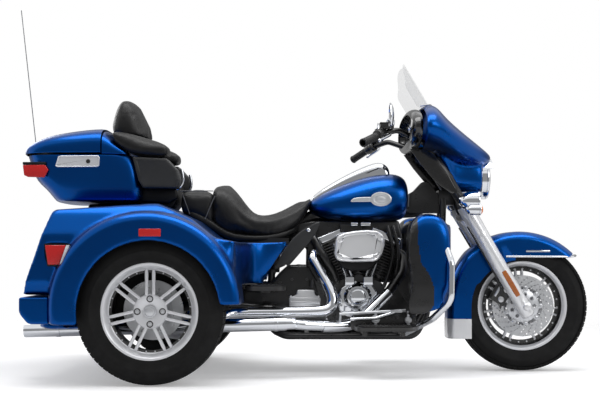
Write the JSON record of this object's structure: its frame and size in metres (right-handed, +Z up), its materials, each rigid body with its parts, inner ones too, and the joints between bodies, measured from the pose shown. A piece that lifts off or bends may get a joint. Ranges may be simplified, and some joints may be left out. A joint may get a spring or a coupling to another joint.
{
  "type": "motorized trike",
  "caption": "Touring three-wheeler with a steered front wheel, V-twin engine, rear trunk between two wheels, and a top luggage case.",
  "frame": {"origin": "on the floor below the middle of the overall length, between the rear wheels' planes", "axes": "+X forward, +Y to the rider's left, +Z up"},
  "size_m": [2.7522, 1.39, 1.7642],
  "materials": {
    "blue_paint": "deep metallic blue gloss",
    "chrome": "mirror chrome",
    "black_steel": "gloss black",
    "tyre_rubber": "matt black",
    "cast_wheel": "satin machined",
    "brake_steel": "ground",
    "seat_cover": "grained black",
    "black_plastic": "fine grain",
    "grey_plastic": "satin dark grey",
    "screen": "lightly tinted",
    "red_lens": "clear red",
    "grip_rubber": "ribbed"
  },
  "bodies": {
    "chassis": {"frame": "black_steel", "rear_axle": "black_steel", "belt_drive": "black_steel", "crankcase": "grey_plastic", "cylinders": "black_steel", "rocker_covers": "chrome", "engine_covers": "chrome", "air_cleaner": "chrome", "exhaust": "chrome", "engine_guard": "chrome", "footboards": "black_steel", "foot_controls": "chrome", "leg_shields": "blue_paint", "fuel_tank": "blue_paint", "tank_console": "chrome", "rider_seat": "seat_cover", "passenger_seat": "seat_cover", "side_covers": "grey_plastic", "rear_body": "blue_paint", "rear_bumper": "blue_paint", "rear_lamps": "red_lens", "top_case": "blue_paint", "case_base": "grey_plastic", "backrest": "seat_cover", "aerial": "black_plastic"},
    "steering": {"fork_sliders": "chrome", "fork_tubes": "black_steel", "handlebar": "chrome", "grips": "grip_rubber", "hand_controls": "black_plastic", "mirrors": "chrome", "front_fairing": "blue_paint", "inner_fairing": "black_plastic", "windscreen": "screen", "headlamp": "chrome", "lamp_bar": "chrome", "front_fender": "blue_paint", "front_calipers": "black_steel"},
    "front_wheel": {"front_tyre": "tyre_rubber", "front_rim": "cast_wheel", "front_discs": "brake_steel"},
    "rear_wheel_left": {"rear_tyre_left": "tyre_rubber", "rear_rim_left": "cast_wheel"},
    "rear_wheel_right": {"rear_tyre_right": "tyre_rubber", "rear_rim_right": "cast_wheel"},
    "door": {"trunk_door": "blue_paint"},
    "lid": {"top_case_lid": "blue_paint"}
  },
  "joints": [
    {"name": "steer", "type": "hinge", "parent": "chassis", "child": "steering", "pos_m": [0.75531, 0, 0.83588], "axis": [-0.4384, 0, 0.8988], "range_deg": [-32, 32]},
    {"name": "front_wheel_spin", "type": "hinge", "parent": "steering", "child": "front_wheel", "pos_m": [1.065, 0, 0.311], "axis": [0, 1, 0], "continuous": true},
    {"name": "rear_wheel_left_spin", "type": "hinge", "parent": "chassis", "child": "rear_wheel_left", "pos_m": [-0.625, 0.542, 0.316], "axis": [0, 1, 0], "continuous": true},
    {"name": "rear_wheel_right_spin", "type": "hinge", "parent": "chassis", "child": "rear_wheel_right", "pos_m": [-0.625, -0.542, 0.316], "axis": [0, 1, 0], "continuous": true},
    {"name": "trunk_door_swing", "type": "hinge", "parent": "chassis", "child": "door", "pos_m": [-1.166, 0, 0.392], "axis": [0, -1, 0], "range_deg": [0, 85]},
    {"name": "lid_swing", "type": "hinge", "parent": "chassis", "child": "lid", "pos_m": [-1.08, 0.291, 1.011], "axis": [-1, 0, 0], "range_deg": [0, 75]}
  ]
}
